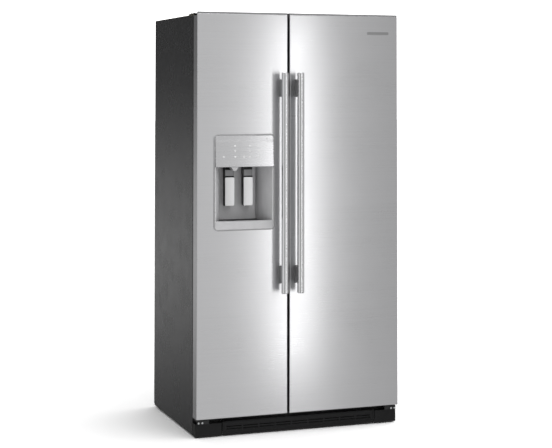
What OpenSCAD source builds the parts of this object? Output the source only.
// Side by side refrigerator: a freezer with an ice and water dispenser on the left,
// and a larger fridge on the right.
// Millimetres. +Z is up and the doors face -Y.
// The origin is on the floor, in the middle of the overall box.

/* [Overall size] */
// Width across the cabinet and the doors
body_w = 908; // [900:2:916]
// Height to the top of the doors
body_h = 1765; // [1760:5:1780]
// Depth of the cabinet behind the doors
cabinet_d = 610; // [606:2:620]

/* [Doors] */
// Thickness of a door
door_t = 52; // [50:1:54]
// Space between the doors and the cabinet, which the gaskets fill
gasket_space = 8; // [8:0.5:9]
// Sideways place of the gap between the doors
split_x = -50; // [-52:1:-48]
// Width of the gap between the doors
split_w = 9; // [7:1:11]
// Height of the doors' lower edge above the floor
door_z0 = 80; // [80:1:82]
// Radius of the doors' upright front edges
door_r = 4; // [3:0.5:6]

/* [Handles] */
// How far a handle stands out from the door
handle_out = 68; // [60:1:75]
// Radius of the handle bar
bar_r = 15; // [12:0.5:16]
// Height of the bar's lower end above the floor
bar_z0 = 588; // [560:2:620]
// Length of the bar
bar_len = 924; // [880:2:960]

/* [Dispenser] */
// Width of the dispenser's front frame
disp_w = 268; // [264:1:272]
// Height of the frame's lower edge above the floor
disp_z0 = 853; // [850:1:856]
// Height of the frame
disp_h = 401; // [400:1:404]
// Depth of the recess behind the door's face
recess_d = 100; // [96:1:100]

/* [Hidden] */
$fn = 48;

// Clearance of a pin in its bore, across the radius
run = 0.06;
// Clearance between parts that move past each other
gap = 0.5;

// Depths, from the front to the back
overall_d = handle_out + door_t + gasket_space + cabinet_d;
door_front = -overall_d / 2 + handle_out;
door_back = door_front + door_t;
cab_front = door_back + gasket_space;
cab_back = cab_front + cabinet_d;

// Cabinet
half_w = body_w / 2;
sheet = 1;
cab_top = body_h - 10;
side_z0 = 16;
foam_z0 = 62;
frame_t = 1.5;
liner_t = 2.5;
room_front = cab_back - 219;
room_top = 330;
step_y = room_front - 45;
step_z = room_top + 45;
space_z0 = 112;
space_z1 = cab_top - 65;
space_back = cab_back - 60;
freezer_x = [-half_w + 58, split_x - 30];
fridge_x = [split_x + 30, half_w - 44];

// Doors
freezer_door_x = [-half_w, split_x - split_w / 2];
fridge_door_x = [split_x + split_w / 2, half_w];
door_z1 = body_h;
cap_top = 7;
cap_bottom = 8;
skin_z0 = door_z0 + cap_bottom;
skin_z1 = door_z1 - cap_top;

// Hinges: the axis stands behind the door's face, inside its outer edge
axis_in = 16;
axis_back = 28;
hinge_y = door_front + axis_back;
top_pin_r = 4;
bottom_pin_r = 5;
pocket_z = door_z1 - 15;
pocket_reach = 18;
pocket_wall = 2;
pocket_lip = 4;
boss_r = 11;
boss_h = 22;
arm_half = 8.5;
hinge_plate_t = 5;

// Gaskets and the raised ribs of the doors' inner faces
gasket_side = 20;
gasket_free = 10;
gasket_w = 12;
gasket_z = [door_z0 + 10, cab_top - 20];
dike_y = door_back + 45;
dike_w = 20;
dike_z = [125, space_z1 - 15];
freezer_dikes = [freezer_x[0] + 8, freezer_x[1] - 20];
fridge_dikes = [fridge_x[0] + 22, fridge_x[1] - 8];

// What stands in the compartments keeps behind this line, clear of the door bins
store_front = door_front + 176;
bin_deep = door_front + 162;
bin_shallow = door_front + 142;
wall = 3;

// Dispenser
disp_x = [freezer_door_x[0] + 73, freezer_door_x[0] + 73 + disp_w];
disp_mid = (disp_x[0] + disp_x[1]) / 2;
disp_z1 = disp_z0 + disp_h;
panel_z0 = disp_z1 - 137;
grille_z = disp_z0 + 40;
recess_back = door_front + recess_d;
bulge_back = door_front + 141;
bulge_z1 = disp_z1 + 91;
chute_x = [disp_mid + 2, disp_mid + 62];
chute_y = [door_front + 20, door_front + 60];
paddle_w = 40;
paddle_pitch = 82;
paddle_mid = disp_mid - 4;
paddle_y = door_front + 73;
paddle_z = panel_z0 + 9;
paddle_pin_r = 2.5;
flap_y = chute_y[1] - 5;
flap_z = panel_z0 + 78;
flap_pin_r = 3;

// Handles
bar_y = door_front - handle_out + bar_r;
freezer_bar_x = split_x - 35;
fridge_bar_x = split_x + 35;
mount_h = 68;
mount_w = 14;
mount_inset = 31;

// Ground
leg_x = half_w - 29;
leg_y = cab_front + 26;
leg_r = 5;
leg_nut = 11;
roller_x = half_w - 54;
roller_r = 20;
front_roller_y = cab_front + 71;
rear_roller_y = cab_back - 39;
front_roller_z = roller_r + 3;
axle_r = 4;

// Points of an arc, from angle a0 to a1
function arc(x, y, r, a0, a1, n = 6) =
    [for (i = [0:n]) let (a = a0 + (a1 - a0) * i / n) [x + r * cos(a), y + r * sin(a)]];

function reverse(v) = [for (i = [len(v) - 1:-1:0]) v[i]];

// Outline of a rectangle with round corners
function round_box(x0, y0, x1, y1, r) = concat(
    arc(x1 - r, y0 + r, r, -90, 0), arc(x1 - r, y1 - r, r, 0, 90),
    arc(x0 + r, y1 - r, r, 90, 180), arc(x0 + r, y0 + r, r, 180, 270));

// Plan outline of a door, taken in by e, open towards the back
function door_plan(x, e) = let (r = door_r - e) concat(
    [[x[0] + e, door_back]], arc(x[0] + e + r, door_front + e + r, r, 180, 270),
    arc(x[1] - e - r, door_front + e + r, r, 270, 360), [[x[1] - e, door_back]]);

module box(lo, hi) {
    translate(lo) cube(hi - lo);
}

// A box given by its low and high x, whichever way round they come
module span_box(xa, xb, y0, y1, z0, z1) {
    box([min(xa, xb), y0, z0], [max(xa, xb), y1, z1]);
}

// Extrudes an outline drawn in x and z along y
module along_y(y0, y1) {
    translate([0, y1, 0]) rotate([90, 0, 0]) linear_extrude(y1 - y0) children();
}

// Extrudes an outline drawn in y and z along x
module along_x(x0, x1) {
    translate([x0, 0, 0]) rotate([90, 0, 90]) linear_extrude(x1 - x0) children();
}

module rod_x(x0, x1, y, z, r) {
    translate([x0, y, z]) rotate([0, 90, 0]) cylinder(h = x1 - x0, r = r);
}

module rod_y(y0, y1, x, z, r) {
    translate([x, y1, z]) rotate([90, 0, 0]) cylinder(h = y1 - y0, r = r);
}

module rod_z(z0, z1, x, y, r) {
    translate([x, y, z0]) cylinder(h = z1 - z0, r = r);
}

// An open tray: floor and four walls
module tray(lo, hi, t = wall) {
    difference() {
        box(lo, hi);
        box([lo[0] + t, lo[1] + t, lo[2] + t], [hi[0] - t, hi[1] - t, hi[2] + 1]);
    }
}

// ---- Cabinet ----

// Outer wrap, with a flange across the front that frames both compartments
module cabinet_shell() {
    color("dimgray") difference() {
        box([-half_w, cab_front, side_z0], [half_w, cab_back, cab_top]);
        box([-half_w + sheet, cab_front + frame_t, side_z0 - 1],
            [half_w - sheet, cab_back + 1, cab_top - sheet]);
        box([-half_w + sheet, cab_front - 1, side_z0 - 1],
            [half_w - sheet, cab_front + frame_t + 1, foam_z0]);
        for (x = [freezer_x, fridge_x])
            box([x[0], cab_front - 1, space_z0], [x[1], cab_front + frame_t + 1, space_z1]);
    }
}

// Side view of a compartment, which steps forward over the machine room
function space_side(e) = let (y0 = cab_front - (e > 0 ? 1 : 0)) [
    [y0, space_z0 + e], [step_y - e, space_z0 + e], [step_y - e, step_z + e],
    [space_back - e, step_z + e], [space_back - e, space_z1 - e], [y0, space_z1 - e]];

module space(x, e) {
    along_x(x[0] + e, x[1] - e) polygon(space_side(e));
}

module insulation() {
    color("khaki") difference() {
        box([-half_w + sheet, cab_front + frame_t, foam_z0],
            [half_w - sheet, cab_back - sheet, cab_top - sheet]);
        space(freezer_x, 0);
        space(fridge_x, 0);
        box([-half_w, room_front, foam_z0 - 1], [half_w, cab_back + 1, room_top]);
    }
}

// Ledges on both sides of a compartment, which carry the shelves and guide the drawers
module ledges(x, heights, y1, reach) {
    for (z = heights) for (side = [0, 1]) {
        inner = x[side] + (side == 0 ? liner_t : -liner_t);
        span_box(inner, inner + (side == 0 ? reach : -reach), store_front + 30, y1, z - 8, z);
    }
}

module liner(x) {
    difference() {
        space(x, 0);
        space(x, liner_t);
    }
}

freezer_shelf_z = [640, 880, 1110, 1310];
fridge_shelf_z = [612, 850, 1090, 1330];
upper_drawer_z = [400, 604];
lower_drawer_z = [130, 360];
ice_bin_z = [freezer_shelf_z[3] + 6, 1500];

module freezer_liner() {
    color("whitesmoke") {
        liner(freezer_x);
        ledges(freezer_x, freezer_shelf_z, space_back - liner_t - 80, 7);
        ledges(freezer_x, [upper_drawer_z[0] - gap], space_back - liner_t - 80, 12);
        ledges(freezer_x, [lower_drawer_z[0] - gap], step_y - liner_t - 5, 12);
    }
}

module fridge_liner() {
    color("whitesmoke") {
        liner(fridge_x);
        ledges(fridge_x, fridge_shelf_z, space_back - liner_t, 7);
        ledges(fridge_x, [upper_drawer_z[0] - gap], space_back - liner_t - 5, 18);
        ledges(fridge_x, [lower_drawer_z[0] - gap], step_y - liner_t - 5, 18);
    }
}

module back_panel() {
    color("gainsboro") {
        box([-half_w + sheet, cab_back - sheet, room_top], [half_w - sheet, cab_back, cab_top - sheet]);
    }
}

// The water valve sits in the open corner of the machine room's cover
valve_x = -370;
valve_z = 215;
valve_corner = [valve_x + 46, valve_z + 58];

module machine_cover() {
    louvre_w = 70;
    louvre_h = 6;
    color("darkgray") difference() {
        box([-half_w + sheet, cab_back - 2, foam_z0], [half_w - sheet, cab_back, room_top]);
        for (x = [-240, -140, -40, 60, 160, 260, 360]) for (z = [110:26:292])
            box([x - louvre_w / 2, cab_back - 3, z], [x + louvre_w / 2, cab_back + 1, z + louvre_h]);
        box([-half_w, cab_back - 3, foam_z0 - 1], [valve_corner[0], cab_back + 1, valve_corner[1]]);
        rod_y(cab_back - 3, cab_back + 1, gland_x, gland_z, gland_r);
    }
}

// Cheeks that hold a roller's axle, hanging from the base pan
module roller_cheeks(x, y, z) {
    for (side = [-1, 1]) difference() {
        box([x + side * 12 - 1.5, y - 14, z - 8], [x + side * 12 + 1.5, y + 14, foam_z0 - 3]);
        rod_x(x + side * 12 - 2, x + side * 12 + 2, y, z, axle_r + run);
    }
}

module base_frame() {
    rail_x = half_w - 2;
    color("black") {
        box([-rail_x, cab_front + 2, foam_z0 - 3], [rail_x, cab_back - 2, foam_z0]);
        for (side = [-1, 1]) {
            span_box(side * rail_x, side * (rail_x - 2), cab_front + 2, cab_back - 3, 8, foam_z0 - 3);
            span_box(side * (rail_x - 2), side * (rail_x - 12), cab_front + 2, cab_back - 3, 8, 10);
            roller_cheeks(side * roller_x, front_roller_y, front_roller_z);
            roller_cheeks(side * roller_x, rear_roller_y, roller_r);
            difference() {
                box([side * leg_x - leg_nut, leg_y - leg_nut, foam_z0 - 15],
                    [side * leg_x + leg_nut, leg_y + leg_nut, foam_z0 - 3]);
                rod_z(foam_z0 - 16, foam_z0 - 3, side * leg_x, leg_y, leg_r + run);
            }
        }
        box([-rail_x + 2, cab_front + 2, 14], [rail_x - 2, cab_front + 5, foam_z0 - 3]);
    }
}

module base_grille() {
    face_y = door_front + 18;
    panel_x = [-335, 350];
    end_in = half_w - 2;
    color("black") {
        difference() {
            union() {
                box([panel_x[0], face_y, 20], [panel_x[1], face_y + 6, 62]);
                box([panel_x[0], face_y + 6, 59], [panel_x[1], cab_front - gap, 62]);
                box([panel_x[0], face_y + 4, 5], [panel_x[1], face_y + 8, 20]);
            }
            for (i = [0:8]) for (z = [28, 38]) let (x = panel_x[0] + 18 + i * 73)
                box([x, face_y - 1, z], [x + 65, face_y + 7, z + 4]);
        }
        for (side = [-1, 1]) {
            inner = side < 0 ? panel_x[0] - 3 : panel_x[1] + 3;
            span_box(inner, side * end_in, face_y + 2, face_y + 7, 5, 57);
            span_box(side * end_in, side * (end_in - 3), face_y + 7, cab_front - gap, 5, 57);
        }
    }
}

// ---- Machine room and cooling ----

module compressor() {
    x = -190;
    y = (room_front + cab_back) / 2 - 8;
    shell_r = 76;
    color("black") {
        translate([x, y, foam_z0 + 14]) rotate_extrude()
            polygon(concat([[0, 0], [shell_r - 10, 0]], arc(shell_r - 14, 16, 14, -60, 0, 4),
                [[shell_r, 62], [shell_r + 3, 62], [shell_r + 3, 68], [shell_r, 68], [shell_r, 105]],
                arc(0, 105, shell_r, 10, 80, 7), [[0, 105 + shell_r * sin(80)]]));
        box([x - 100, y - 32, foam_z0 + 8], [x + 100, y + 32, foam_z0 + 14]);
        for (sx = [-1, 1]) for (sy = [-1, 1]) rod_z(foam_z0, foam_z0 + 8, x + sx * 88, y + sy * 22, 9);
        box([x + 55, y - 24, 130], [x + 98, y + 24, 165]);
    }
}

// A block of tubes with fins across them
module finned_coil(lo, hi, fins, rows, cols, tube_r) {
    fin_t = 1;
    for (i = [0:fins - 1]) let (x = lo[0] + (hi[0] - lo[0] - fin_t) * i / (fins - 1))
        box([x, lo[1], lo[2]], [x + fin_t, hi[1], hi[2]]);
    pitch = [(hi[1] - lo[1]) / cols, (hi[2] - lo[2]) / rows];
    for (r = [0:rows - 1]) for (c = [0:cols - 1])
        rod_x(lo[0], hi[0], lo[1] + pitch[0] * (c + 0.5), lo[2] + pitch[1] * (r + 0.5), tube_r);
}

module condenser() {
    color("dimgray") finned_coil([90, room_front + 50, 98], [400, room_front + 150, 250], 16, 4, 2, 4);
}

shroud_x = 40;
fan_y = room_front + 100;
fan_z = 190;

fan_bore = 3;
motor_r = 24;

module fan_shroud() {
    color("black") {
        difference() {
            box([shroud_x, room_front + 10, foam_z0], [shroud_x + 3, cab_back - 20, 310]);
            rod_x(shroud_x - 1, shroud_x + 4, fan_y, fan_z, 82);
        }
        for (a = [0, 120, 240]) translate([shroud_x, fan_y, fan_z]) rotate([a, 0, 0])
            box([0, -5, 20], [3, 5, 86]);
        difference() {
            rod_x(shroud_x, shroud_x + 3, fan_y, fan_z, motor_r);
            rod_x(shroud_x - 1, shroud_x + 4, fan_y, fan_z, fan_bore + 1);
        }
    }
}

// Blades round a hub that is bored from its low side, turning about the x axis
module fan_wheel(r, hub_r, depth, blades) {
    difference() {
        union() {
            rod_x(-depth / 2, depth / 2, 0, 0, hub_r);
            for (i = [0:blades - 1]) rotate([i * 360 / blades, 0, 0]) translate([0, 0, hub_r - 3])
                rotate([0, 0, 32]) box([-1, -r * 0.32, 0], [1, r * 0.32, r - hub_r + 3]);
        }
        rod_x(-depth / 2 - 1, 1, 0, 0, fan_bore + run);
    }
}

module condenser_fan() {
    color("gray") translate([shroud_x - 26, fan_y, fan_z]) rotate([0, 0, 180]) fan_wheel(74, 18, 24, 5);
}

// The motors of both fans and of the ice auger, each with its shaft
module motors() {
    color("silver") {
        rod_x(shroud_x + 3, shroud_x + 34, fan_y, fan_z, motor_r);
        rod_x(shroud_x - 26, shroud_x + 3, fan_y, fan_z, fan_bore);
        rod_y(cover_y + wall, cover_y + 24, freezer_mid, evap_fan_z, motor_r);
        rod_y(cover_y + 24, cover_y + 42, freezer_mid, evap_fan_z, fan_bore);
        rod_y(cover_y + wall, cover_y + 40, freezer_mid, ice_mid_z, 30);
        rod_y(cover_y - 12, cover_y + wall, freezer_mid, ice_mid_z, auger_socket_r);
    }
}

module drain_pan() {
    color("black") tray([80, room_front + 30, foam_z0], [410, cab_back - 24, 88]);
}

cover_y = space_back - 70;
evap_z = [400, 640];
evap_fan_z = 820;
freezer_mid = (freezer_x[0] + freezer_x[1]) / 2;

module evaporator() {
    color("silver") finned_coil([freezer_x[0] + 16, cover_y + 8, evap_z[0]],
        [freezer_x[1] - 16, space_back - 9, evap_z[1]], 18, 6, 2, 4);
}

module evaporator_cover() {
    color("whitesmoke") {
        difference() {
            box([freezer_x[0] + liner_t, cover_y, step_z + liner_t],
                [freezer_x[1] - liner_t, cover_y + wall, space_z1 - liner_t]);
            for (z = [700, 725, 925, 950, 1180, 1205, 1530]) for (x = [-110, -65, -20, 25, 70])
                box([freezer_mid + x, cover_y - 1, z], [freezer_mid + x + 34, cover_y + wall + 1, z + 7]);
            rod_y(cover_y - 1, cover_y + wall + 1, freezer_mid, ice_mid_z, auger_socket_r + 1);
        }
    }
}

module evaporator_fan() {
    color("white") translate([freezer_mid, cover_y + 42, evap_fan_z]) rotate([0, 0, 90])
        fan_wheel(56, 15, 20, 5);
}

// ---- Freezer inside ----

// A wire shelf: a rim of square bar with round rods across it
module wire_shelf(x0, x1, y0, y1, z, rods) {
    bar = 6;
    difference() {
        box([x0, y0, z], [x1, y1, z + bar]);
        box([x0 + bar, y0 + bar, z - 1], [x1 - bar, y1 - bar, z + bar + 1]);
    }
    for (i = [1:rods]) let (x = x0 + (x1 - x0) * i / (rods + 1)) rod_y(y0 + 2, y1 - 2, x, z + 3.4, 2);
    box([x0 + 2, (y0 + y1) / 2 - 2, z + 0.5], [x1 - 2, (y0 + y1) / 2 + 2, z + 3]);
}

module freezer_shelves() {
    color("white") for (z = freezer_shelf_z)
        wire_shelf(freezer_x[0] + 5, freezer_x[1] - 5, store_front + 6, cover_y - 3, z, 11);
}

// A sliding basket or drawer: a tray with a thicker front that has a finger lip along its top
module drawer(x0, x1, y0, y1, z0, z1, vents) {
    front_t = 8;
    lip = 12;
    difference() {
        union() {
            tray([x0, y0 + front_t - wall, z0], [x1, y1, z1 - 14]);
            box([x0 - 2, y0, z0 + 4], [x1 + 2, y0 + front_t, z1]);
        }
        if (vents > 0) for (i = [1:vents]) let (y = y0 + (y1 - y0) * i / (vents + 1))
            box([x0 - 1, y - 5, z0 + 22], [x1 + 1, y + 5, z1 - 36]);
    }
    box([x0 + 30, y0 - lip, z1 - 6], [x1 - 30, y0, z1]);
    box([x0 + 30, y0 - lip, z1 - 16], [x1 - 30, y0 - lip + 3, z1 - 6]);
}

freezer_drawer_x = [freezer_x[0] + 8, freezer_x[1] - 8];
fridge_drawer_x = [fridge_x[0] + 8, fridge_x[1] - 14];

module freezer_basket_upper() {
    color("white") drawer(freezer_drawer_x[0], freezer_drawer_x[1], store_front + 14, cover_y - 6,
        upper_drawer_z[0], upper_drawer_z[1], 7);
}

module freezer_basket_lower() {
    color("white") drawer(freezer_drawer_x[0], freezer_drawer_x[1], store_front + 14, step_y - 8,
        lower_drawer_z[0], lower_drawer_z[1], 5);
}

ice_nose_y = door_front + 78;
ice_nose_z = [bulge_z1 + 9, bulge_z1 + 81];
ice_mid_z = 1380;
auger_socket_r = 4;

module ice_bin() {
    lo = [freezer_drawer_x[0], store_front + 6, ice_bin_z[0]];
    hi = [freezer_drawer_x[1], cover_y - 8, ice_bin_z[1]];
    color("white") difference() {
        union() {
            tray(lo, hi);
            box([chute_x[0] - 6, ice_nose_y, ice_nose_z[0]], [chute_x[1] + 6, lo[1] + wall, ice_nose_z[1]]);
        }
        box([chute_x[0], ice_nose_y + 4, ice_nose_z[0] - 1], [chute_x[1], lo[1] - 4, ice_nose_z[1] - 6]);
        box([chute_x[0], lo[1] - 5, ice_nose_z[0] + 16], [chute_x[1], lo[1] + wall + 1, ice_nose_z[1] - 6]);
        rod_y(hi[1] - wall - 1, hi[1] + 1, freezer_mid, ice_mid_z, 6 + run);
    }
}

// Drives the ice forward: a shaft with blades set round it like steps of a screw
module ice_auger() {
    y0 = store_front + 24;
    y1 = cover_y - 14;
    blades = 12;
    color("gray") {
        difference() {
            rod_y(y0, cover_y - 2, freezer_mid, ice_mid_z, 6);
            rod_y(cover_y - 13, cover_y - 1, freezer_mid, ice_mid_z, auger_socket_r + run);
        }
        for (i = [0:blades - 1]) let (y = y0 + 8 + (y1 - y0 - 20) * i / (blades - 1))
            translate([freezer_mid, y, ice_mid_z]) rotate([0, i * 45, 0]) box([-5, -3, 0], [5, 3, 46]);
    }
}

maker_y = [store_front + 95, cover_y - 12];
maker_z = [1560, 1640];
arm_x = freezer_mid + 104;

module ice_maker() {
    mould_r = 30;
    mould_w = 60;
    mould_y = maker_y[0] + 70;
    mould_z1 = maker_z[0] + 56;
    color("lightgray") {
        // ice mould, with fins between the cubes
        difference() {
            box([freezer_mid - mould_w, mould_y, maker_z[0]],
                [freezer_mid + mould_w, maker_y[1], mould_z1]);
            rod_y(mould_y + 6, maker_y[1] - 6, freezer_mid, mould_z1, mould_r);
        }
        for (i = [1:6]) let (y = mould_y + 6 + (maker_y[1] - mould_y - 12) * i / 7)
            box([freezer_mid - mould_r - 4, y - 1, maker_z[0] + 10],
                [freezer_mid + mould_r + 4, y + 1, mould_z1 - 12]);
        // drive box, which the feeler arm pivots in
        difference() {
            box([freezer_mid - 66, maker_y[0], maker_z[0] - 6], [freezer_mid + 98, mould_y, maker_z[1]]);
            rod_x(freezer_mid + 86, freezer_mid + 99, maker_y[0] + 36, maker_z[0] + 30, 3 + run);
        }
        // bracket up to the roof
        box([freezer_mid - mould_w, maker_y[1] - 20, mould_z1],
            [freezer_mid + mould_w, maker_y[1], space_z1 - liner_t]);
    }
}

// The wire that feels how full the ice bin is
module ice_maker_arm() {
    y0 = maker_y[0] + 36;
    z0 = maker_z[0] + 30;
    color("silver") {
        rod_x(freezer_mid + 88, arm_x + 3, y0, z0, 3);
        rod_y(y0, maker_y[1] - 60, arm_x, z0, 2.5);
        rod_z(z0 - 74, z0, arm_x, maker_y[1] - 60, 2.5);
        rod_x(freezer_mid + 10, arm_x, maker_y[1] - 60, z0 - 74, 2.5);
    }
}

// ---- Fridge inside ----

// A glass shelf: a rim round a glass plate
module glass_shelf(x0, x1, y0, y1, z, front_h) {
    rim = 12;
    rim_h = 12;
    difference() {
        union() {
            box([x0, y0, z], [x1, y1, z + rim_h]);
            box([x0, y0, z + rim_h - front_h], [x1, y0 + rim, z + rim_h]);
        }
        box([x0 + rim, y0 + rim, z - 1], [x1 - rim, y1 - rim, z + rim_h + 1]);
        box([x0 + rim - 4, y0 + rim - 4, z + 5], [x1 - rim + 4, y1 - rim + 4, z + 9]);
    }
    box([x0 + rim - 4, y0 + rim - 4, z + 5], [x1 - rim + 4, y1 - rim + 4, z + 9]);
}

module fridge_shelves() {
    color("lightcyan") for (z = fridge_shelf_z)
        glass_shelf(fridge_x[0] + 5, fridge_x[1] - 5, store_front, space_back - 8, z, 18);
}

module crisper_upper() {
    color("lightblue") drawer(fridge_drawer_x[0], fridge_drawer_x[1], store_front + 14, space_back - 14,
        upper_drawer_z[0], upper_drawer_z[1], 0);
}

module crisper_lower() {
    color("lightblue") drawer(fridge_drawer_x[0], fridge_drawer_x[1], store_front + 14, step_y - 8,
        lower_drawer_z[0], lower_drawer_z[1], 0);
}

fridge_mid = (fridge_x[0] + fridge_x[1]) / 2;

module air_tower() {
    front = space_back - liner_t - 24;
    color("white") difference() {
        box([fridge_mid - 80, front, 1380], [fridge_mid + 80, space_back - liner_t, space_z1 - liner_t]);
        for (z = [1410:24:1650])
            box([fridge_mid - 62, front - 1, z], [fridge_mid + 62, front + 8, z + 8]);
    }
}

module led_lights() {
    color("white") for (x = [freezer_mid, fridge_mid])
        box([x - 70, store_front + 20, space_z1 - liner_t - 12],
            [x + 70, store_front + 60, space_z1 - liner_t]);
}

module water_filter() {
    x = fridge_x[1] - 48;
    z = space_z1 - liner_t - 34;
    color("white") {
        difference() {
            box([x - 36, store_front + 60, z - 32], [x + 36, space_back - 60, space_z1 - liner_t]);
            rod_y(store_front + 59, store_front + 72, x, z, 31);
        }
        rod_y(store_front + 52, store_front + 72, x, z, 27);
        box([x - 22, store_front + 42, z - 5], [x + 22, store_front + 52, z + 5]);
    }
}

// ---- Hinges, feet and rollers ----

module top_hinges() {
    plate_z1 = cab_top + hinge_plate_t;
    screw_r = 5;
    color("black") for (side = [-1, 1]) {
        x = side * (half_w - axis_in);
        span_box(side * (half_w - 4), side * (half_w - 62), cab_front, cab_front + 80, cab_top, plate_z1);
        box([x - arm_half, hinge_y, cab_top], [x + arm_half, cab_front, plate_z1]);
        rod_z(cab_top, plate_z1, x, hinge_y, 10);
        rod_z(pocket_z - 20, cab_top, x, hinge_y, top_pin_r);
        for (p = [[-12, 25], [-12, 62], [-46, 44]])
            rod_z(plate_z1, plate_z1 + 3, side * (half_w + p[0]), cab_front + p[1], screw_r);
    }
}

module bottom_hinges() {
    plate_z = [door_z0 - 10, door_z0 - 5];
    plate_y = door_front + 10;
    screw_r = 3.5;
    color("black") for (side = [-1, 1]) {
        x = side * (half_w - axis_in);
        x0 = side * (half_w - 6);
        x1 = side * (half_w - 58);
        span_box(x0, x1, plate_y, cab_front, plate_z[0], plate_z[1]);
        span_box(x0, x1, cab_front - 3, cab_front, 30, plate_z[0]);
        span_box(x0, x1, plate_y, plate_y + 3, 59, plate_z[0]);
        rod_z(plate_z[1], door_z0 - gap, x, hinge_y, 9);
        rod_z(plate_z[1], door_z0 + 24, x, hinge_y, bottom_pin_r);
        for (u = [12, 28]) rod_y(plate_y - 3, plate_y, side * (half_w - u), 65, screw_r);
    }
}

module levelling_legs() {
    color("black") for (x = [-leg_x, leg_x]) {
        rod_z(0, 7, x, leg_y, 14);
        translate([x, leg_y, 7]) cylinder(h = 9, r = 9, $fn = 6);
        rod_z(16, foam_z0 - 4, x, leg_y, leg_r);
    }
}

// Two wheels on one line, each with its own axle
module rollers(y, z) {
    for (side = [-1, 1]) {
        rod_x(side * roller_x - 9, side * roller_x + 9, y, z, roller_r);
        rod_x(side * roller_x - 16, side * roller_x + 16, y, z, axle_r);
    }
}

module front_rollers() {
    color("dimgray") rollers(front_roller_y, front_roller_z);
}

module rear_rollers() {
    color("dimgray") rollers(rear_roller_y, roller_r);
}

// Where the mains lead leaves the cabinet
gland_x = 420;
gland_z = 120;
gland_r = 8;
lead_r = 4;
module cord_gland() {
    color("black") difference() {
        union() {
            rod_y(cab_back - 8, cab_back - 2, gland_x, gland_z, gland_r + 4);
            rod_y(cab_back - 2, cab_back, gland_x, gland_z, gland_r);
        }
        rod_y(cab_back - 9, cab_back + 1, gland_x, gland_z, lead_r);
    }
}

// The house's water line screws onto the stub at the back
inlet_r = 5.5;
module water_valve() {
    color("green") {
        box([valve_x - 24, cab_back - 80, valve_z - 20], [valve_x + 24, cab_back - 26, valve_z + 20]);
        rod_y(cab_back - 26, cab_back - 17, valve_x, valve_z, 12);
        rod_y(cab_back - 17, cab_back, valve_x, valve_z, inlet_r);
        rod_z(valve_z + 20, valve_z + 50, valve_x, cab_back - 53, 14);
        box([valve_x - 4, cab_back - 75, foam_z0], [valve_x + 4, cab_back - 72, valve_z - 20]);
    }
}

// ---- Doors ----

// The space a hinge arm needs at a door's top corner, over the whole swing
module pocket(side, grow) {
    x = side * (half_w - axis_in - pocket_reach - grow);
    span_box(x, side * (half_w + 1), door_front + pocket_lip - grow, door_back + 1,
        pocket_z - grow, door_z1 + 1);
}

module door_skin(x, side) {
    color("silver") difference() {
        translate([0, 0, skin_z0]) linear_extrude(skin_z1 - skin_z0)
            polygon(concat(door_plan(x, 0), reverse(door_plan(x, sheet))));
        pocket(side, 0);
        if (side < 0) along_y(door_front - 1, door_front + 2)
            polygon(round_box(disp_x[0] + 4, disp_z0 + 4, disp_x[1] - 4, disp_z1 - 4, 11));
    }
}

module end_caps(x, side) {
    axis_x = side * (half_w - axis_in);
    color("gray") {
        // top
        difference() {
            union() {
                translate([0, 0, skin_z1]) linear_extrude(cap_top) polygon(door_plan(x, 0));
                intersection() {
                    translate([0, 0, pocket_z - pocket_wall])
                        linear_extrude(skin_z1 - pocket_z + pocket_wall) polygon(door_plan(x, sheet));
                    pocket(side, pocket_wall);
                }
                rod_z(pocket_z - pocket_wall - boss_h, pocket_z, axis_x, hinge_y, boss_r);
            }
            pocket(side, 0);
            rod_z(pocket_z - boss_h, pocket_z + 1, axis_x, hinge_y, top_pin_r + run);
        }
        // bottom
        difference() {
            union() {
                translate([0, 0, door_z0]) linear_extrude(cap_bottom) polygon(door_plan(x, 0));
                rod_z(skin_z0, skin_z0 + boss_h, axis_x, hinge_y, boss_r);
            }
            rod_z(door_z0 - 1, skin_z0 + boss_h - 2, axis_x, hinge_y, bottom_pin_r + run);
        }
    }
}

// Foamed core with the inner face: a plate with upright and crossing ribs, which the bins hang between
module door_inner(x, side, dikes) {
    axis_x = side * (half_w - axis_in);
    difference() {
        translate([0, 0, skin_z0]) linear_extrude(skin_z1 - skin_z0) polygon(door_plan(x, sheet));
        pocket(side, pocket_wall);
        rod_z(pocket_z - pocket_wall - boss_h, pocket_z, axis_x, hinge_y, boss_r);
        rod_z(skin_z0 - 1, skin_z0 + boss_h, axis_x, hinge_y, boss_r);
    }
    difference() {
        box([dikes[0], door_back, dike_z[0]], [dikes[1], dike_y, dike_z[1]]);
        box([dikes[0] + dike_w, door_back - 1, dike_z[0] + dike_w],
            [dikes[1] - dike_w, dike_y + 1, dike_z[1] - dike_w]);
    }
}

module door_gasket(x, side) {
    x0 = side < 0 ? x[0] + gasket_side : x[0] + gasket_free;
    x1 = side < 0 ? x[1] - gasket_free : x[1] - gasket_side;
    color("gray") difference() {
        box([x0, door_back, gasket_z[0]], [x1, cab_front - gap, gasket_z[1]]);
        box([x0 + gasket_w, door_back - 1, gasket_z[0] + gasket_w],
            [x1 - gasket_w, cab_front, gasket_z[1] - gasket_w]);
    }
}

module handle_bar(x) {
    color("silver") rod_z(bar_z0, bar_z0 + bar_len, x, bar_y, bar_r);
}

module handle_mounts(x) {
    foot = 3;
    half = mount_w / 2;
    heights = [bar_z0 + mount_inset + 9, bar_z0 + bar_len - mount_inset - mount_h];
    color("dimgray") for (z = heights) difference() {
        union() {
            box([x - half, bar_y, z], [x + half, door_front, z + mount_h]);
            box([x - half - foot, door_front - 4, z - foot],
                [x + half + foot, door_front, z + mount_h + foot]);
        }
        rod_z(z - 4, z + mount_h + 4, x, bar_y, bar_r);
    }
}

// Bins that hang between a door's ribs, each given as its floor height, its height and its back
module door_bins(dikes, bins) {
    for (b = bins)
        tray([dikes[0] + dike_w + 1, door_back, b[0]], [dikes[1] - dike_w - 1, b[2], b[0] + b[1]]);
}

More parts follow.
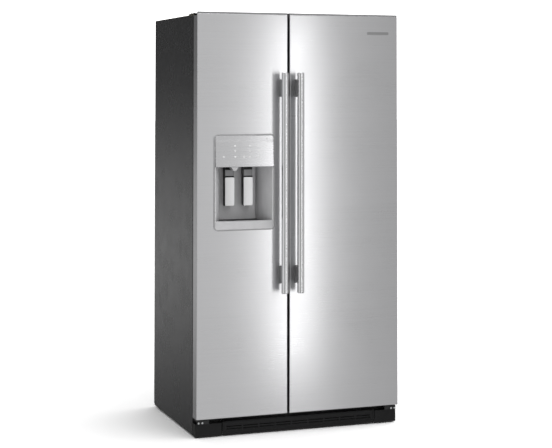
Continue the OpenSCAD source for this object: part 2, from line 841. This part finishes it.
freezer_bins = [[165, 100, bin_shallow], [400, 100, bin_shallow], [650, 100, bin_deep],
    [1440, 90, bin_deep], [1552, 80, bin_deep]];
fridge_bins = [[180, 120, bin_shallow], [470, 120, bin_shallow],
    [800, 120, bin_deep], [1120, 120, bin_deep]];

module freezer_door_skin() { door_skin(freezer_door_x, -1); }
module fridge_door_skin() { door_skin(fridge_door_x, 1); }
module freezer_door_end_caps() { end_caps(freezer_door_x, -1); }
module fridge_door_end_caps() { end_caps(fridge_door_x, 1); }
module freezer_door_gasket() { door_gasket(freezer_door_x, -1); }
module fridge_door_gasket() { door_gasket(fridge_door_x, 1); }
module freezer_handle_bar() { handle_bar(freezer_bar_x); }
module fridge_handle_bar() { handle_bar(fridge_bar_x); }
module freezer_handle_mounts() { handle_mounts(freezer_bar_x); }
module fridge_handle_mounts() { handle_mounts(fridge_bar_x); }
module freezer_door_bins() { color("lightblue") door_bins(freezer_dikes, freezer_bins); }
module fridge_door_bins() { color("lightblue") door_bins(fridge_dikes, fridge_bins); }

module fridge_door_inner() {
    color("whitesmoke") door_inner(fridge_door_x, 1, fridge_dikes);
}

cavity_side = 9;
cavity_back = recess_back + 12;

// The freezer door's inner face bulges behind the dispenser, with a duct for the ice
module freezer_door_inner() {
    duct_z0 = disp_z1 - cavity_side;
    color("whitesmoke") difference() {
        union() {
            door_inner(freezer_door_x, -1, freezer_dikes);
            box([disp_x[0] + 1, door_back, disp_z0 - 3], [disp_x[1], bulge_back, bulge_z1]);
        }
        box([disp_x[0] + cavity_side, door_front, disp_z0 + cavity_side],
            [disp_x[1] - cavity_side, cavity_back, duct_z0]);
        along_x(chute_x[0], chute_x[1]) polygon([[chute_y[0], duct_z0 - 1], [chute_y[1], duct_z0 - 1],
            [chute_y[1], disp_z1], [bulge_back - 4, bulge_z1 + 1],
            [ice_nose_y + 4, bulge_z1 + 1], [chute_y[0], disp_z1]]);
    }
}

// ---- Dispenser ----

recess_back_w = 167;
recess_front_w = disp_w - 14;

recess_curve = 1.7;
// Gap between the mouldings of the housing
seam = 0.3;
// Depth of the drip tray under the grille
tray_h = 14;
// Height of the housing's top rail
rail_h = 12;
// Depth of the control panel behind the door's face
panel_in = 14;

// One side of the recess in plan, at the part t of its depth and taken in by e
function recess_side(t, side, e) =
    let (front = recess_front_w / 2 - e, back = recess_back_w / 2 - e)
    [disp_mid + side * (back + (front - back) * pow(1 - t, recess_curve)),
        door_front + e + (recess_d - 2 * e) * t];

// Plan of the recess: wide at the front, with curved sides that close in on a flat back wall
function recess_plan(e, n = 10) = concat(
    [for (i = [0:n]) recess_side(i / n, -1, e)], [for (i = [n:-1:0]) recess_side(i / n, 1, e)]);

// Plan of the sill under the recess, which bows forward
function sill_plan(n = 12, bow = 8, in = 6) = concat(
    [for (i = [0:n]) let (t = i / n)
        [disp_x[0] + in + (disp_w - 2 * in) * t, door_front - 3 - bow * (1 - pow(2 * t - 1, 2))]],
    [[disp_x[1] - in, door_front], [disp_x[0] + in, door_front]]);

// Where the mouldings of the housing meet
module housing_seams() {
    lo = [disp_x[0] - 1, door_front - 12];
    hi = [disp_x[1] + 1, cavity_back + 1];
    for (z = [grille_z - tray_h, panel_z0 - seam])
        box([lo[0], lo[1], z], [hi[0], hi[1], z + seam]);
    for (x = [disp_mid - recess_back_w / 2 - seam, disp_mid + recess_back_w / 2])
        box([x, lo[1], grille_z - tray_h], [x + seam, hi[1], panel_z0]);
    for (x = [chute_x[0] - seam, chute_x[1]])
        box([x, lo[1], panel_z0 - seam], [x + seam, hi[1], disp_z1 + 1]);
    box([chute_x[0] - seam, lo[1], disp_z1 - rail_h - seam],
        [chute_x[1] + seam, hi[1], disp_z1 - rail_h]);
}

module dispenser_housing() {
    color("darkgray") difference() {
        union() {
            along_y(door_front - 3, door_front)
                polygon(round_box(disp_x[0], disp_z0, disp_x[1], disp_z1, 14));
            box([disp_x[0] + cavity_side, door_front, disp_z0 + cavity_side],
                [disp_x[1] - cavity_side, cavity_back, disp_z1 - cavity_side]);
            translate([0, 0, disp_z0 + 5]) linear_extrude(grille_z - disp_z0 - 8) polygon(sill_plan());
        }
        // recess
        translate([0, 0, grille_z - tray_h])
            linear_extrude(panel_z0 - grille_z + tray_h) polygon(recess_plan(0));
        box([disp_mid - recess_front_w / 2, door_front - 4, grille_z],
            [disp_mid + recess_front_w / 2, door_front + 0.5, panel_z0]);
        // pocket for the control panel
        box([disp_x[0] + 16, door_front - 4, panel_z0 + 6],
            [disp_x[1] - 16, door_front + panel_in + 2, disp_z1 - rail_h]);
        // ice duct, open to the front below its top end
        box([chute_x[0], door_front - 4, panel_z0 - 1], [chute_x[1], chute_y[1], disp_z1 - rail_h]);
        box([chute_x[0], chute_y[0], disp_z1 - rail_h - 1], [chute_x[1], chute_y[1], disp_z1]);
        rod_x(chute_x[0] - 7, chute_x[1] + 7, flap_y, flap_z, flap_pin_r + run);
        // slots and pivot holes of the paddles
        for (x = [paddle_mid - paddle_pitch / 2, paddle_mid + paddle_pitch / 2]) {
            box([x - paddle_w / 2 - 1, paddle_y - 8, panel_z0 - 1],
                [x + paddle_w / 2 + 1, paddle_y + 14, paddle_z + 8]);
            rod_x(x - paddle_w / 2 - 7, x + paddle_w / 2 + 7, paddle_y, paddle_z, paddle_pin_r + run);
        }
        housing_seams();
    }
    // front wall of the ice duct
    color("darkgray") box([chute_x[0] + seam, door_front + panel_in + 1, panel_z0],
        [chute_x[1] - seam, chute_y[0], disp_z1 - rail_h - 2 * seam]);
    // ribs that carry the drip grille
    color("darkgray") for (x = [-60, 0, 60])
        box([disp_mid + x - 2, door_front + 20, grille_z - tray_h],
            [disp_mid + x + 2, recess_back - 10, grille_z - 6]);
}

// Leans forward towards its lower edge, which is rounded
module dispenser_panel() {
    lean = 8;
    edge_r = 4;
    color("lightgray") {
        along_x(disp_x[0] + 6, disp_x[1] - 6) polygon(concat(
            [[door_front - 3, disp_z1 - 5], [door_front - 5, disp_z1 - 5]],
            arc(door_front - 3 - lean + edge_r, panel_z0 + 3 + edge_r, edge_r, 180, 270),
            [[door_front - 3, panel_z0 + 3]]));
        box([disp_x[0] + 18, door_front - 3, panel_z0 + 8],
            [disp_x[1] - 18, door_front + panel_in, disp_z1 - 14]);
    }
}

module drip_grille() {
    color("dimgray") difference() {
        translate([0, 0, grille_z - 6]) linear_extrude(5) polygon(recess_plan(3));
        for (i = [0:6]) let (y = door_front + 20 + i * 10)
            box([disp_mid - 70, y, grille_z - 7], [disp_mid + 70, y + 5, grille_z]);
    }
}

module water_spout() {
    x = disp_mid - 41;
    color("lightgray") difference() {
        union() {
            along_y(door_front + 16, door_front + 36)
                polygon([[x - 18, panel_z0], [x - 6, panel_z0 - 15],
                    [x + 6, panel_z0 - 15], [x + 18, panel_z0]]);
            rod_z(panel_z0 - 18, panel_z0 - 14, x, door_front + 26, 5);
        }
        rod_z(panel_z0 - 19, panel_z0 - 8, x, door_front + 26, 3);
    }
}

// A paddle that a glass pushes back: a plate on the front of a deep arm, whose back slopes,
// hung from a round barrel with a pin at each end
module paddle(x) {
    half = paddle_w / 2;
    length = 176;
    side_view = [[-3, 0], [3, 0], [21, -18], [21, -24], [14, -length],
        [-15, -length], [-15, -56], [-7, -50], [-7, -12]];
    color("silver") {
        rod_x(x - half, x + half, paddle_y, paddle_z, 5);
        rod_x(x - half - 6, x + half + 6, paddle_y, paddle_z, paddle_pin_r);
        along_x(x - half, x + half) translate([paddle_y, paddle_z]) polygon(side_view);
    }
}

module ice_paddle() { paddle(paddle_mid + paddle_pitch / 2); }
module water_paddle() { paddle(paddle_mid - paddle_pitch / 2); }

// Closes the ice duct, and drops open about its rear edge
module chute_flap() {
    color("black") {
        rod_x(chute_x[0] - 6, chute_x[1] + 6, flap_y, flap_z, flap_pin_r);
        box([chute_x[0] + 1, chute_y[0] + 2, flap_z - 1.5], [chute_x[1] - 1, flap_y, flap_z + 1.5]);
    }
}

// ---- Dairy compartment on the fridge door ----

dairy_x = [fridge_dikes[0] + dike_w + 1, fridge_dikes[1] - dike_w - 1];
dairy_z = [1440, 1532];
lid_y = door_back + 11;
lid_z = dairy_z[1] + 4;
lid_back = bin_deep - 10;

module dairy_compartment() {
    color("white") {
        difference() {
            box([dairy_x[0], door_back, dairy_z[0]], [dairy_x[1], lid_back - 5, dairy_z[1]]);
            box([dairy_x[0] + wall, door_back + wall, dairy_z[0] + wall],
                [dairy_x[1] - wall, lid_back, dairy_z[1] + 1]);
        }
        for (x = dairy_x) difference() {
            inner = x == dairy_x[0] ? x + wall : x - wall;
            span_box(x, inner, door_back, lid_y + 7, dairy_z[1], lid_z + 7);
            rod_x(min(x, inner) - 1, max(x, inner) + 1, lid_y, lid_z, 3 + run);
        }
    }
}

// The clear lid covers the top and the back, and turns on two short pins
module dairy_lid() {
    x0 = dairy_x[0] + wall + gap;
    x1 = dairy_x[1] - wall - gap;
    color("lightcyan") {
        rod_x(dairy_x[0], dairy_x[1], lid_y, lid_z, 3);
        box([x0, lid_y, lid_z], [x1, lid_back, lid_z + wall]);
        box([x0, lid_back - wall, dairy_z[0] + 12], [x1, lid_back, lid_z]);
    }
}

cabinet_shell();
insulation();
freezer_liner();
fridge_liner();
back_panel();
machine_cover();
base_frame();
base_grille();
compressor();
condenser();
fan_shroud();
motors();
drain_pan();
evaporator();
evaporator_cover();
ice_maker();
ice_bin();
freezer_shelves();
fridge_shelves();
air_tower();
led_lights();
water_filter();
water_valve();
cord_gland();
top_hinges();
bottom_hinges();
levelling_legs();
freezer_door_skin();
freezer_door_inner();
freezer_door_gasket();
freezer_door_end_caps();
freezer_handle_bar();
freezer_handle_mounts();
freezer_door_bins();
dispenser_housing();
dispenser_panel();
drip_grille();
water_spout();
fridge_door_skin();
fridge_door_inner();
fridge_door_gasket();
fridge_door_end_caps();
fridge_handle_bar();
fridge_handle_mounts();
fridge_door_bins();
dairy_compartment();
dairy_lid();
ice_paddle();
water_paddle();
chute_flap();
freezer_basket_upper();
freezer_basket_lower();
crisper_upper();
crisper_lower();
evaporator_fan();
condenser_fan();
ice_auger();
ice_maker_arm();
front_rollers();
rear_rollers();
